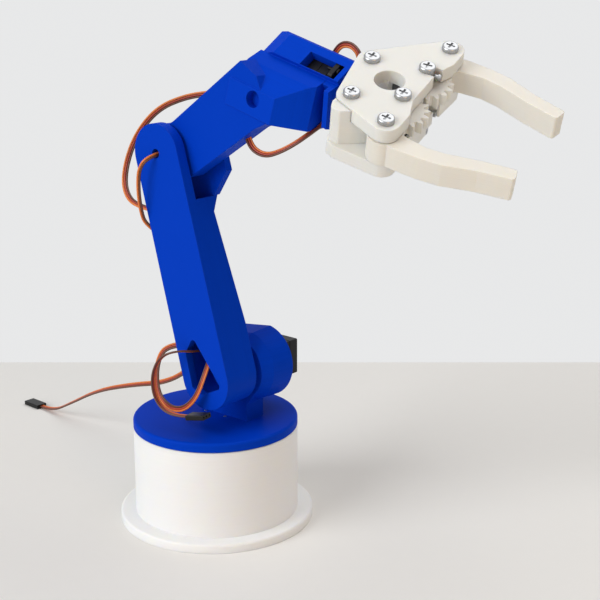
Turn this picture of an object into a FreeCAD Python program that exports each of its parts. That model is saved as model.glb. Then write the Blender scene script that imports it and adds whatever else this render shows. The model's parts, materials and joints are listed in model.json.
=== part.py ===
import FreeCAD, Part
import math
import os
from FreeCAD import Vector, Placement, Rotation

os.makedirs("parts", exist_ok=True)

# Sizes in millimetres, angles in degrees. X is the reach, -Y the side seen in front, Z up.
# General fits
fit_gap = 0.25          # pocket clearance round a servo case
run_gap = 0.05          # radial clearance of a shaft that turns in its hole
part_gap = 0.3          # clearance between printed pieces that slide past each other
face_gap = 0.4          # clearance between flat faces of turning pieces
block_seat = 0.1        # gap over a block that stands under a plate

# Base
base_r = 45.0
base_h = 53.0
base_wall = 4.0
flange_r = 53.3
flange_h = 5.0
flange_round = 1.2
cover_t = 2.5           # plate that closes the base from below
servo_sink = 3.0        # the waist servo's top lies this far below the base's top

# Waist disc and upright
disc_h = 5.0
disc_round = 1.6
shoulder_x = 16.0
shoulder_z = 87.5
upright_near = 2.0      # near face of the upright
upright_far = 23.0
neck_far = 15.0
head_near_r = 16.5
head_flare_r = 19.4
head_far_r = 20.2
head_back = -24.0
foot_front = 21.5
foot_back = -13.0
foot_top = 68.0
back_half = 12.5        # half height of the head's square back at its near face
flare_grow = 1.2        # the back grows by this to the flare
far_grow = 1.5          # and by this to its far face
flare_short = 0.5       # the flare ends this far before the servo's ears
throat_drop = 13.0      # narrow place under the head, below the shoulder axis
throat_front = (13.5, 4.0)  # its front corner, from the axis and above the throat
throat_back = (6.0, 3.0)    # its back corner, from the head's back and above the throat

# Upper arm
arm_tilt = 15.5         # leans back at rest
arm_length = 120.0
arm_root_r = 16.3
arm_tip_r = 15.5
arm_near = -24.0
arm_far = -2.0
arm_wall = 4.5
arm_waist_far = -7.0    # far face at the thin place below the elbow
thin_below = 8.0        # the thin place lies this far below the elbow gap
arm_block_far = -0.2    # far face of the elbow block
fork_near = -18.0       # near side of the elbow gap
fork_far = -4.5
fork_floor = -27.0      # bottom of the gap, from the elbow axis
arm_thin_at = arm_length + fork_floor - thin_below
ear_hole_r = 2.5
stub_r = 4.5
stub_end = -21.8
slot_corners = ((-2.4, 23.1), (-10.2, 15.3), (-10.7, -3.8), (-4.8, -7.8), (10.4, -5.3))
slot_round = 2.0

# Forearm and wrist housing
forearm_rise = 33.0     # angle above level at rest
plate_near = -16.0
plate_far = -5.5
plate_root_r = 14.5
boss_recess_r = 8.5
boss_recess_end = -10.7
wrist_at = (94.5, 12.8, -12.5)   # roll axis point in the forearm's frame
wrist_kink = 49.0       # the housing points this much below the forearm's line
roll_rest = 40.0        # turn of the housing's roof about the roll axis
housing_back = -38.5
housing_front = 12.4
housing_near = -29.6
housing_low = -24.0
roof_z = 10.8
front_plate_t = 2.9
groove_w = 4.5
roll_sink = 1.7         # the roll servo's top lies this far behind the housing's front
near_hole_r = 4.2
near_hole_at = (-21.7, -15.7)

# Wrist link and pitch axis
link_gap = 2.8
link_disc_r = 8.6
link_disc_t = 3.4
link_roll = 23.0        # the link is turned this far about the roll axis at rest
link_yaw = 11.7         # the link's pitch axis is turned this far from square to the roll axis
cheek_r = 6.0
cheek_t = 5.4
cheek_gap = 0.6
link_wall = 9.0         # depth of the walls that take the pitch servo's screws
link_rim = 0.4          # they reach this far past its ears
pitch_at = 27.0         # pitch axis in front of the roll point
pitch_rest = 6.5        # gripper points down by this at rest
pitch_case_top = 8.5    # lateral place of the pitch servo's top face
link_clear_r = 10.3     # the link stays within this of the pitch axis above it

# Gripper
gear_x = 19.6           # drive and idle gears
gear_half = 12.23
gear_teeth = 17
finger_teeth = 11
gear_back = 4.4         # the gears end flat this far behind their axes
pivot_x = 21.6          # finger pivots
pivot_step = gear_half * (1 + finger_teeth / gear_teeth)
pivot_half = gear_half + math.sqrt(pivot_step ** 2 - (pivot_x - gear_x) ** 2)
top_low = 10.6          # top plate, underside and upper face
top_high = 17.6
gear_low = 4.2
gear_high = top_low - face_gap
finger_low = -2.0
low_plate_high = finger_low - part_gap
low_plate_low = -9.5
well_low = -14.0        # walls round the gripper servo reach down to here
well_wall = 2.0
# Lower plate's rear corner, and the block on it that fills the near side between the plates
low_rear_corner = ((-5.0, -22.0), (-6.5, -33.0), (-5.0, -37.0), (-1.0, -38.6))
rear_block = ((12.0, -28.4), (0.4, -36.7), (-4.5, -35.8), (-6.0, -31.5), (-5.0, -23.0), (6.0, -21.5))
block_high = 16.6
block_round = 1.8
plate_corner_r = 6.9
plate_front = 24.9      # front edge of the plates between the gears
low_front = 26.2
low_depth = 14.0        # depth of the lower plate at the root of its far bar
bar_root_r = 7.0
screw_head_r = 4.0
screw_head_h = 2.4
bolt_r = 2.0
collar_r = 3.3
collar_room = 0.1
set_screw_r = 1.2
set_screw_l = 5.2
set_screw_turn = 10.0   # the set screws point this far from straight ahead
low_collar = (-15.6, -4.0)
nut_z = (-19.0, -15.6)
nut_r = 4.4
nut_ribs = 14
pressure = 25.0
backlash = 0.28
grip_hole_r = 7.3
grip_hole_at = (9.0, -5.0)
rear_screws = ((-5.6, 4.7), (-0.6, -23.9))
rear_screw_l = 4.2
rear_screw_r = 1.5
cap_thread_r = 0.9      # thread of the screw that holds the drive gear
cap_lift = 0.2          # its head clears the top plate by this
# Finger: distance out from the pivot, offset away from the other finger, half width
finger_spine = ((0.0, 0.0, 6.0), (9.0, 1.6, 5.0), (20.0, 2.2, 4.15), (30.0, 0.9, 4.1), (45.0, -3.8, 3.7),
                (61.5, -7.4, 3.6))
finger_round = 1.4
hub_r = 7.8             # plain round back of a finger's toothed end
hub_from = 1.5          # it starts this far beside the pivot

# Servos: body length, width, shaft to near end, case height, ear length, ear thickness,
# ear top below case top, boss radius, boss height, shaft radius, shaft height above case,
# screw hole from the ear's end and from the middle line, hole and screw radius, horn radius and
# thickness, screw head radius and height, length of screw past the ear
STANDARD = dict(length=40.7, width=19.7, nose=10.15, height=36.5, ears=54.5, ear_t=2.5, ear_drop=7.0,
                boss_r=6.5, boss_h=2.0, shaft_r=3.0, shaft_h=6.4, hole_edge=3.0, hole_side=5.0,
                hole_r=2.1, screw_r=1.4, horn_r=10.5, horn_t=2.4, head_r=2.7, head_h=1.8, bite=5.0)
MICRO = dict(length=22.8, width=12.2, nose=5.5, height=22.7, ears=32.2, ear_t=2.5, ear_drop=4.3,
             boss_r=5.9, boss_h=4.0, shaft_r=2.3, shaft_h=6.2, hole_edge=2.2, hole_side=0.0,
             hole_r=1.1, screw_r=0.9, horn_r=5.6, horn_t=1.6, head_r=1.8, head_h=1.3, bite=3.2)
TINY = dict(length=20.2, width=8.6, nose=5.0, height=17.2, ears=28.0, ear_t=1.5, ear_drop=3.4,
            boss_r=4.0, boss_h=2.6, shaft_r=1.9, shaft_h=5.6, hole_edge=1.9, hole_side=0.0,
            hole_r=0.9, screw_r=0.7, horn_r=4.5, horn_t=1.4, head_r=1.5, head_h=1.0, bite=4.6)
case_round = 0.8        # upright edges of a case
ear_round = 2.4         # corners of its ears
ear_side = 0.6          # the ears are narrower than the case by this on each side
ear_pocket_side = 0.4   # and the shoulder's ear pocket than the case's pocket by this
seam = 0.3              # groove where a case's parts meet: half its height, and its depth
seam_drop = 4.0         # upper groove below the ears
seam_rise = 6.0         # lower groove above the case's bottom
waist_bite = 4.5        # waist and roll servo screws past the ear, in place of the bite above
roll_bite = 3.6
grip_bite = 4.2         # gripper servo screws past the ear
pilot_room = 0.4        # a screw's hole is deeper than the screw by this
upright_pilot_room = 1.0
grip_pilot_room = 0.3
pilot_roof = 1.5        # the waist screws' holes end this far below the base's top
horn_screw_r = 1.1      # screws that hold the standard horns
waist_horn_head = (1.7, 1.2)
waist_horn_bite = 4.4
shoulder_horn_head = (1.9, 1.4)

# Leads: radius, then route points in the frame of the piece they ride on
lead_r = 1.1
wire_r = 0.9
elbow_route = ((MICRO["length"] - MICRO["nose"], 14.0, 0.0), (28.0, 14.0, 0.0), (35.0, 13.0, 7.0),
               (35.5, 11.5, 16.0), (28.0, 10.0, 23.0), (15.0, 8.0, 25.5), (0.0, 5.5, 26.0),
               (-18.0, 3.0, 22.5), (-33.0, -1.0, 12.0), (-42.0, -6.0, -3.0), (-41.0, -11.0, -15.0),
               (-31.0, -15.0, -24.5), (-14.0, -16.5, -29.5))
hole_route = ((0.0, -17.0, 0.0), (-0.4, -27.0, -0.4), (-8.0, -31.0, -5.5), (-13.0, -30.5, -15.0),
              (-16.0, -28.5, -26.0), (-19.0, -24.0, -35.0), (-14.5, -18.5, -42.0))
foot_route = ((1.0, -14.0, 15.0), (0.0, -26.0, 4.0), (-7.0, -30.0, -12.0), (-22.0, -30.0, -15.0),
              (-33.0, -28.5, -5.0), (-32.0, -25.0, 9.0), (-24.0, -19.5, 16.5), (-14.5, -15.0, 18.0))
plug_route = ((-6.0, arm_far - arm_wall, 14.0), (-6.0, -18.0, 14.0), (-10.0, -30.5, 12.5),
              (-20.0, -35.0, 10.0), (-29.0, -35.5, 2.0), (-29.0, -35.0, -8.0), (-20.0, -34.0, -16.0),
              (-9.0, -32.0, -17.0))
wrist_route = ((-27.0, -23.5, -33.0), (-24.0, -23.0, -41.0), (-13.0, -22.5, -43.0), (-2.5, -21.5, -35.5),
               (5.0, -15.5, -25.5), (7.2, -1.0, -15.5))
top_route = ((-8.0, 8.0, -1.0), (-7.0, 14.5, 6.0), (1.5, 17.0, 9.0), (9.5, 14.0, 5.0), (8.5, 8.0, -3.0))
table_route = ((shoulder_x + STANDARD["nose"] - STANDARD["length"], 33.0, shoulder_z - 1.0),
               (-32.0, 33.0, shoulder_z - 1.0), (-50.0, 33.8, 66.0), (-74.0, 35.5, 50.0),
               (-108.0, 37.0, 40.5), (-142.0, 38.5, 28.5), (-172.0, 40.2, 12.0), (-192.0, 41.5, 1.6),
               (-205.0, 42.0, 1.6))
plug_size = (14.0, 7.6, 2.7)
foot_plug_size = (11.0, 7.6, 2.7)


# Small building helpers
def box(x0, x1, y0, y1, z0, z1):
    return Part.makeBox(x1 - x0, y1 - y0, z1 - z0, Vector(x0, y0, z0))


def rod(radius, start, end):
    a = Vector(*start)
    way = Vector(*end) - a
    return Part.makeCylinder(radius, way.Length, a, way)


def polygon(points):
    corners = [Vector(*p) for p in points]
    return Part.Face(Part.makePolygon(corners + [corners[0]]))


def side_prism(points, y0, y1):
    """Extrudes an (x, z) outline from y0 to y1."""
    return polygon([(x, y0, z) for x, z in points]).extrude(Vector(0, y1 - y0, 0))


def plan_prism(points, z0, z1):
    """Extrudes an (x, y) outline from z0 to z1."""
    return polygon([(x, y, z0) for x, y in points]).extrude(Vector(0, 0, z1 - z0))


def end_prism(points, x0, x1):
    """Extrudes a (y, z) outline from x0 to x1."""
    return polygon([(x0, y, z) for y, z in points]).extrude(Vector(x1 - x0, 0, 0))


def capsule(a, ra, b, rb, z0, z1):
    """Plan shape round two circles with their outer tangents."""
    ax, ay = a
    bx, by = b
    dist = math.hypot(bx - ax, by - ay)
    way = math.atan2(by - ay, bx - ax)
    lean = math.acos((ra - rb) / dist)
    corners = []
    for x, y, r, side in ((ax, ay, ra, 1), (bx, by, rb, 1), (bx, by, rb, -1), (ax, ay, ra, -1)):
        angle = way + side * lean
        corners.append((x + r * math.cos(angle), y + r * math.sin(angle)))
    body = plan_prism(corners, z0, z1)
    ends = [rod(ra, (ax, ay, z0), (ax, ay, z1)), rod(rb, (bx, by, z0), (bx, by, z1))]
    return body.fuse(ends).removeSplitter()


def rounded_plan(corners, radius, z0, z1):
    """Plan shape with its corners rounded, through corner circles."""
    shape = plan_prism(corners, z0, z1)
    rims = [e for e in shape.Edges if abs(e.tangentAt(e.FirstParameter).z) > 0.99]
    return shape.makeFillet(radius, rims)


def upright_to_side(shape):
    """Turns a plan shape (x, y, z) so that its plan lies in X and Z and its height along -Y."""
    turned = shape.copy()
    turned.Placement = Placement(Vector(0, 0, 0), Rotation(Vector(1, 0, 0), 90)).multiply(turned.Placement)
    return turned


def put(shape, place):
    moved = shape.copy()
    moved.Placement = place.multiply(moved.Placement)
    return moved


def fuse(shapes):
    return shapes[0].fuse(shapes[1:]).removeSplitter()


def write(shape, node, place=None):
    solid = put(shape, place) if place else shape
    solid = solid.removeSplitter() if len(solid.Solids) == 1 else solid
    solid.exportStep("parts/" + node + ".step")
    box_now = solid.BoundBox
    print("%-24s solids %d valid %s volume %.0f box %.0f %.0f %.0f" % (
        node, len(solid.Solids), solid.isValid(), solid.Volume,
        box_now.XLength, box_now.YLength, box_now.ZLength))


# Frames of the moving pieces at rest
across = Vector(0, 1, 0)
along = Vector(1, 0, 0)
upwards = Vector(0, 0, 1)
shoulder = Placement(Vector(shoulder_x, 0, shoulder_z), Rotation(across, -arm_tilt))
elbow_point = shoulder.multVec(Vector(0, 0, arm_length))
elbow = Placement(elbow_point, Rotation(across, -arm_tilt))
forearm = Placement(elbow_point, Rotation(across, -forearm_rise))
level = Placement(forearm.multVec(Vector(*wrist_at)), Rotation(across, wrist_kink - forearm_rise))
wrist = level.multiply(Placement(Vector(0, 0, 0), Rotation(along, roll_rest)))
link = level.multiply(Placement(Vector(0, 0, 0), Rotation(along, link_roll)))
link = link.multiply(Placement(Vector(pitch_at, 0, 0), Rotation()))
yaw = Placement(Vector(0, 0, 0), Rotation(upwards, link_yaw))
pitch = link.multiply(yaw)
grip = pitch.multiply(Placement(Vector(0, 0, 0), Rotation(across, pitch_rest)))


# Servos: shaft axis on +Z, case top at z = 0, long end towards -X
def ear_places(s):
    middle = s["nose"] - s["length"] / 2
    sides = (-s["hole_side"], s["hole_side"]) if s["hole_side"] else (0.0,)
    reach = s["ears"] / 2 - s["hole_edge"]
    return [(middle + end * reach, side) for end in (-1, 1) for side in sides]


def servo_case(s):
    half = s["width"] / 2
    middle = s["nose"] - s["length"] / 2
    body = box(s["nose"] - s["length"], s["nose"], -half, half, -s["height"], 0)
    body = body.makeFillet(case_round, [e for e in body.Edges if abs(e.tangentAt(0).z) > 0.99])
    ear_half = s["ears"] / 2
    ears = box(middle - ear_half, middle + ear_half, -half + ear_side, half - ear_side,
               -s["ear_drop"] - s["ear_t"], -s["ear_drop"])
    ears = ears.makeFillet(ear_round, [e for e in ears.Edges if abs(e.tangentAt(0).z) > 0.99])
    boss = rod(s["boss_r"], (0, 0, 0), (0, 0, s["boss_h"]))
    case = fuse([body, ears, boss])
    case = case.cut(rod(s["shaft_r"] + run_gap, (0, 0, -4.0), (0, 0, s["boss_h"] + 1)))
    for x, y in ear_places(s):
        case = case.cut(rod(s["hole_r"], (x, y, -s["ear_drop"] - 5), (x, y, -s["ear_drop"] + 1)))
    for z in (-s["ear_drop"] - s["ear_t"] - seam_drop, -s["height"] + seam_rise):
        outer = box(s["nose"] - s["length"] - 1, s["nose"] + 1, -half - 1, half + 1, z, z + 2 * seam)
        inner = box(s["nose"] - s["length"] + seam, s["nose"] - seam, -half + seam, half - seam, z,
                    z + 2 * seam)
        case = case.cut(outer.cut(inner))
    return case


def servo_pocket(s, depth_top, depth_low):
    """The room a case needs, from depth_low below its top to depth_top above it."""
    half = s["width"] / 2 + fit_gap
    return box(s["nose"] - s["length"] - fit_gap, s["nose"] + fit_gap, -half, half, depth_low, depth_top)


def servo_shaft(s):
    return rod(s["shaft_r"], (0, 0, -3.5), (0, 0, s["shaft_h"]))


def horn_z(s):
    return s["shaft_h"] - s["horn_t"]


def horn_places(s):
    ring = 0.5 * (s["horn_r"] + s["shaft_r"]) + 0.4
    return [(ring, 0), (0, ring), (-ring, 0), (0, -ring)]


def small_screw(radius, head_r, head_h, length):
    """Pan-head screw, head upwards with its underside at z = 0, with a cross slot."""
    head = rod(head_r, (0, 0, 0), (0, 0, head_h))
    top = [e for e in head.Edges if abs(e.BoundBox.ZMin - head_h) < 0.01]
    head = head.makeFillet(head_h * 0.45, top)
    slot_w = head_r * 0.13
    reach = head_r * 0.55
    deep = head_h * 0.55
    for a, b in ((reach, slot_w), (slot_w, reach)):
        head = head.cut(box(-a, a, -b, b, deep, head_h + 1))
    return fuse([head, rod(radius, (0, 0, -length), (0, 0, 0.2))])


def screws_at(places, screw, z, downwards=False):
    """Copies of a screw at plan places, heads up or down."""
    turn = Rotation(Vector(1, 0, 0), 180) if downwards else Rotation()
    return Part.makeCompound([put(screw, Placement(Vector(x, y, z), turn)) for x, y in places])


# Where each servo sits: a placement from the servo frame to the world
waist_top = base_h - servo_sink
waist_servo = Placement(Vector(0, 0, waist_top), Rotation())
to_near = Rotation(Vector(1, 0, 0), Vector(0, 0, 1), Vector(0, -1, 0), "XZY")
shoulder_servo = Placement(Vector(shoulder_x, upright_near, shoulder_z), to_near)
elbow_turn = to_near.multiply(Rotation(upwards, 180))
elbow_servo = elbow.multiply(Placement(Vector(0, fork_far, 0), elbow_turn))
to_front = Rotation(Vector(0, 0, 1), Vector(0, -1, 0), Vector(1, 0, 0), "XZY")
roll_top = housing_front - roll_sink
roll_servo = wrist.multiply(Placement(Vector(roll_top, 0, 0), to_front))
down_to_near = Rotation(Vector(0, 0, 1), Vector(1, 0, 0), Vector(0, -1, 0), "XZY")
pitch_servo = pitch.multiply(Placement(Vector(0, pitch_case_top, 0), down_to_near))
grip_servo_top = gear_low - TINY["boss_h"] - face_gap
drive_y = -gear_half
idle_y = gear_half
near_y = -pivot_half
far_y = pivot_half
grip_here = Placement(Vector(gear_x, drive_y, grip_servo_top), Rotation(upwards, -90))
grip_servo = grip.multiply(grip_here)


# Base
def base_housing():
    s = STANDARD
    body = rod(base_r, (0, 0, 0), (0, 0, base_h))
    flange = rod(flange_r, (0, 0, 0), (0, 0, flange_h))
    rim = [e for e in flange.Edges if abs(e.BoundBox.ZMin - flange_h) < 0.01]
    body = fuse([body, flange.makeFillet(flange_round, rim)])
    body = body.cut(rod(base_r - base_wall, (0, 0, -1), (0, 0, base_h - base_wall)))
    ear_top = waist_top - s["ear_drop"]
    middle = s["nose"] - s["length"] / 2
    for end in (-1, 1):
        outer = middle + end * (s["ears"] / 2 + 1.0)
        inner = middle + end * (s["length"] / 2 + fit_gap)
        low, high = sorted((outer, inner))
        body = body.fuse(box(low, high, -s["width"] / 2, s["width"] / 2, ear_top, base_h - base_wall + 0.5))
    body = body.cut(put(servo_pocket(s, 4.0, -s["ear_drop"]), waist_servo))
    for x, y in ear_places(s):
        body = body.cut(rod(s["screw_r"], (x, y, ear_top - 1), (x, y, base_h - pilot_roof)))
    return body.removeSplitter()


def build_base():
    s = STANDARD
    write(base_housing(), "base_housing")
    write(rod(base_r - base_wall, (0, 0, 0), (0, 0, cover_t)), "base_cover")
    write(servo_case(s), "waist_servo_case", waist_servo)
    screw = small_screw(s["screw_r"], s["head_r"], s["head_h"], s["ear_t"] + waist_bite)
    ear_low = waist_top - s["ear_drop"] - s["ear_t"]
    write(screws_at(ear_places(s), screw, ear_low, True), "waist_servo_screws")


# Waist: disc and upright
def head_outline(radius, grow, y):
    """Closed outline of the upright's head at one depth, front round and back square."""
    front = math.radians(-70)
    top = math.radians(78)

    def on_round(angle):
        return Vector(shoulder_x + radius * math.cos(angle), y, shoulder_z + radius * math.sin(angle))

    high = on_round(top)
    low = on_round(front)
    back_top = Vector(head_back, y, shoulder_z + back_half + grow)
    back_low = Vector(head_back, y, shoulder_z - back_half - grow)
    arc = Part.Arc(low, on_round(0.0), high).toShape()
    edges = [arc]
    corners = [high, back_top, back_low, low]
    for a, b in zip(corners, corners[1:]):
        edges.append(Part.makeLine(a, b))
    return Part.Wire(edges)


def waist_bracket():
    s = STANDARD
    disc_low = base_h + part_gap
    disc_high = disc_low + disc_h
    disc = rod(base_r, (0, 0, disc_low), (0, 0, disc_high))
    rim = [e for e in disc.Edges if abs(e.BoundBox.ZMin - disc_high) < 0.01]
    disc = disc.makeFillet(disc_round, rim)
    head = Part.makeLoft([head_outline(head_near_r, 0.0, upright_near),
                          head_outline(head_flare_r, flare_grow, upright_near + s["ear_drop"] - flare_short),
                          head_outline(head_far_r, far_grow, upright_far)], True, True)
    throat = shoulder_z - throat_drop
    neck = side_prism(((foot_back, disc_low + 1), (foot_front, disc_low + 1), (foot_front, foot_top),
                       (shoulder_x + throat_front[0], throat + throat_front[1]), (shoulder_x, shoulder_z),
                       (head_back + throat_back[0], throat + throat_back[1]), (foot_back, foot_top)),
                      upright_near, neck_far)
    body = fuse([disc, head, neck])
    pocket = servo_pocket(s, 5.0, -60.0)
    body = body.cut(put(pocket, shoulder_servo))
    middle = s["nose"] - s["length"] / 2
    ear_half = s["ears"] / 2 + fit_gap
    half = s["width"] / 2 + fit_gap
    side = half - ear_pocket_side
    ears = box(middle - ear_half, middle + ear_half, -side, side, -60.0, -s["ear_drop"])
    ears = ears.makeFillet(ear_round, [e for e in ears.Edges if abs(e.tangentAt(0).z) > 0.99])
    body = body.cut(put(ears, shoulder_servo))
    for x, y in ear_places(s):
        pilot = rod(s["screw_r"], (x, y, -s["ear_drop"] - 1),
                    (x, y, -s["ear_drop"] + s["bite"] + upright_pilot_room))
        body = body.cut(put(pilot, shoulder_servo))
    horn_room = rod(s["horn_r"] + part_gap, (0, 0, 0), (0, 0, waist_horn_top()))
    body = body.cut(horn_room)
    return body


def waist_horn_top():
    return waist_top + STANDARD["shaft_h"]


def build_waist():
    s = STANDARD
    bracket = waist_bracket()
    screw = small_screw(horn_screw_r, waist_horn_head[0], waist_horn_head[1], waist_horn_bite)
    horn_low = waist_top + horn_z(s)
    horn_high = horn_low + waist_horn_bite
    pilots = [rod(horn_screw_r, (x, y, horn_low), (x, y, horn_high)) for x, y in horn_places(s)]
    write(bracket.cut(Part.makeCompound(pilots)), "waist_bracket")
    write(servo_shaft(s), "waist_servo_shaft", waist_servo)
    write(narrow_horn(s), "waist_servo_horn", waist_servo)
    write(screws_at(horn_places(s), screw, horn_low, True), "waist_horn_screws")
    write(servo_case(s), "shoulder_servo_case", shoulder_servo)
    ear_screw = small_screw(s["screw_r"], s["head_r"], s["head_h"], s["ear_t"] + s["bite"])
    group = screws_at(ear_places(s), ear_screw, -s["ear_drop"] - s["ear_t"], True)
    write(group, "shoulder_servo_screws", shoulder_servo)


def narrow_horn(s):
    """Horn with holes that its small screws fill."""
    disc = rod(s["horn_r"], (0, 0, horn_z(s)), (0, 0, s["shaft_h"]))
    disc = disc.cut(rod(s["shaft_r"], (0, 0, 0), (0, 0, s["shaft_h"] + 1)))
    for x, y in horn_places(s):
        disc = disc.cut(rod(horn_screw_r, (x, y, 0), (x, y, s["shaft_h"] + 1)))
    return disc


# Upper arm, in a frame with x forward across it and z along it
def arm_profile(root_r, tip_r, z0, z1):
    """The arm's side outline as a plate between two depths."""
    flat = capsule((0, 0), root_r, (0, arm_length), tip_r, -z1, -z0)
    return upright_to_side(flat)


def upper_arm_body():
    s = STANDARD
    side = arm_profile(arm_root_r, arm_tip_r, arm_near, 0.0)
    outline = ((arm_near, -20), (arm_far, -20), (arm_far, 25), (arm_waist_far, arm_thin_at),
               (arm_block_far, arm_thin_at + 11), (arm_block_far, arm_length + 20),
               (arm_near, arm_length + 20))
    front = end_prism(outline, -40, 40)
    body = side.common(front)
    block = ((-13, arm_length - 16), (15.5, arm_length + fork_floor), (28, arm_length - 16),
             (28, arm_length + 9), (24, arm_length + 13), (-9, arm_length + 13), (-13, arm_length + 9))
    body = body.fuse(side_prism(block, fork_far, arm_block_far))
    inner = arm_profile(arm_root_r - arm_wall, arm_tip_r - arm_wall, arm_near, 0.0)
    room = ((arm_near + arm_wall, -20), (arm_far - arm_wall, -20), (arm_far - arm_wall, 25),
            (arm_waist_far - arm_wall + 1.5, arm_thin_at), (arm_near + arm_wall, arm_thin_at))
    body = body.cut(inner.common(end_prism(room, -40, 40)))
    body = body.cut(box(-60, 60, fork_near, fork_far, arm_length + fork_floor, arm_length + 60))
    slot = rounded_plan(slot_corners, slot_round, -(arm_near + arm_wall + 1), -(arm_near - 1))
    body = body.cut(upright_to_side(slot))
    body = body.cut(rod(s["horn_r"] + part_gap, (0, horn_floor(), 0), (0, 5, 0)))
    body = body.cut(rod(ear_hole_r, (0, arm_near - 1, arm_length), (0, fork_near + 1, arm_length)))
    body = body.cut(rod(stub_r + run_gap, (0, stub_end - 0.2, arm_length), (0, fork_near + 1, arm_length)))
    return body


def horn_floor():
    """Depth of the shoulder horn's far end in the arm's far wall."""
    return upright_near - STANDARD["shaft_h"]


def build_upper_arm():
    s = STANDARD
    m = MICRO
    back_to_arm = shoulder.inverse()
    body = upper_arm_body()
    elbow_here = back_to_arm.multiply(elbow_servo)
    body = body.cut(put(servo_pocket(m, 0.5, -30.0), elbow_here))
    for x, y in ear_places(m):
        pilot = rod(m["screw_r"], (x, y, -m["ear_drop"] - 1),
                    (x, y, -m["ear_drop"] + m["bite"] + pilot_room))
        body = body.cut(put(pilot, elbow_here))
    horn_here = Placement(Vector(0, upright_near, 0), to_near)
    wall_in = arm_far - arm_wall
    head_z = upright_near - wall_in
    reach = head_z - horn_z(s)
    for x, y in horn_places(s):
        body = body.cut(put(rod(horn_screw_r, (x, y, horn_z(s)), (x, y, head_z + 1)), horn_here))
    above = Placement(Vector(0, 0, arm_length), Rotation())
    body = body.cut(put(end_hole(elbow_route, lead_r), above))
    body = body.cut(put(end_hole(hole_route, wire_r), above))
    body = body.cut(end_hole(foot_route, lead_r))
    write(body, "upper_arm", shoulder)
    shoulder_here = shoulder.multiply(horn_here)
    write(servo_shaft(s), "shoulder_servo_shaft", shoulder_here)
    write(narrow_horn(s), "shoulder_servo_horn", shoulder_here)
    screw = small_screw(horn_screw_r, shoulder_horn_head[0], shoulder_horn_head[1], reach)
    write(screws_at(horn_places(s), screw, head_z), "shoulder_horn_screws", shoulder_here)
    write(servo_case(m), "elbow_servo_case", elbow_servo)
    ear_screw = small_screw(m["screw_r"], m["head_r"], m["head_h"], m["ear_t"] + m["bite"])
    group = screws_at(ear_places(m), ear_screw, -m["ear_drop"] - m["ear_t"], True)
    write(group, "elbow_servo_screws", elbow_servo)


# Forearm: plate, elbow stub and wrist housing
def housing_section():
    """Housing outline in the rolled frame, from sizes in the level frame."""
    c = math.cos(math.radians(roll_rest))
    s = math.sin(math.radians(roll_rest))

    def rolled(y, z):
        return (y * c + z * s, -y * s + z * c)

    shelf = (housing_near + roof_z * s) / c
    return [rolled(housing_near, housing_low), (shelf, roof_z), (-15.5, roof_z), (-6.6, 8.4), (-6.6, roof_z),
            (7.0, roof_z), (9.0, roof_z - 2.0), (9.0, -23.0), (-7.2, -23.5)]


def wrist_housing():
    """Housing in the rolled frame, x along the roll axis."""
    m = MICRO
    plate_back = housing_front - front_plate_t
    groove_back = plate_back - groove_w
    section = housing_section()
    body = end_prism(section, housing_back, groove_back)
    core = end_prism(((-10.0, 9.0), (-6.6, 8.4), (-6.6, roof_z), (7.0, roof_z), (9.0, roof_z - 2.0),
                      (9.0, -23.0), (-10.0, -23.4)), groove_back - 1, plate_back + 1)
    front = end_prism(((-13.7, 10.2), (-22.4, -7.3), (-7.2, -23.5), (9.0, -23.0), (9.0, roof_z - 2.0),
                       (7.0, roof_z), (-6.6, roof_z), (-6.6, 8.4)), plate_back, housing_front)
    body = fuse([body, core, front])
    bevel = side_prism(((-29.3, roof_z), (housing_back - 1, roof_z + 1), (housing_back - 1, 6.0)), -6.6, 12)
    body = body.cut(bevel)
    here = Placement(Vector(roll_top, 0, 0), to_front)
    body = body.cut(put(servo_pocket(m, 0.4, -m["height"] - fit_gap), here))
    body = body.cut(put(rod(m["boss_r"] + part_gap, (0, 0, 0), (0, 0, 10)), here))
    middle = m["nose"] - m["length"] / 2
    ear_half = m["ears"] / 2 + fit_gap
    half = m["width"] / 2 + fit_gap
    ears = box(middle - ear_half, middle + ear_half, -half, half, -m["ear_drop"] - m["ear_t"],
               plate_back - roll_top)
    body = body.cut(put(ears, here))
    slot = box(-12.2, plate_back, -6.3, 2.5, 0, roof_z + 1)
    body = body.cut(slot)
    for x, y in ear_places(m):
        low = -m["ear_drop"] - m["ear_t"] - roll_bite - pilot_room
        pilot = rod(m["screw_r"], (x, y, low), (x, y, -m["ear_drop"]))
        body = body.cut(put(pilot, here))
    return body


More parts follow.
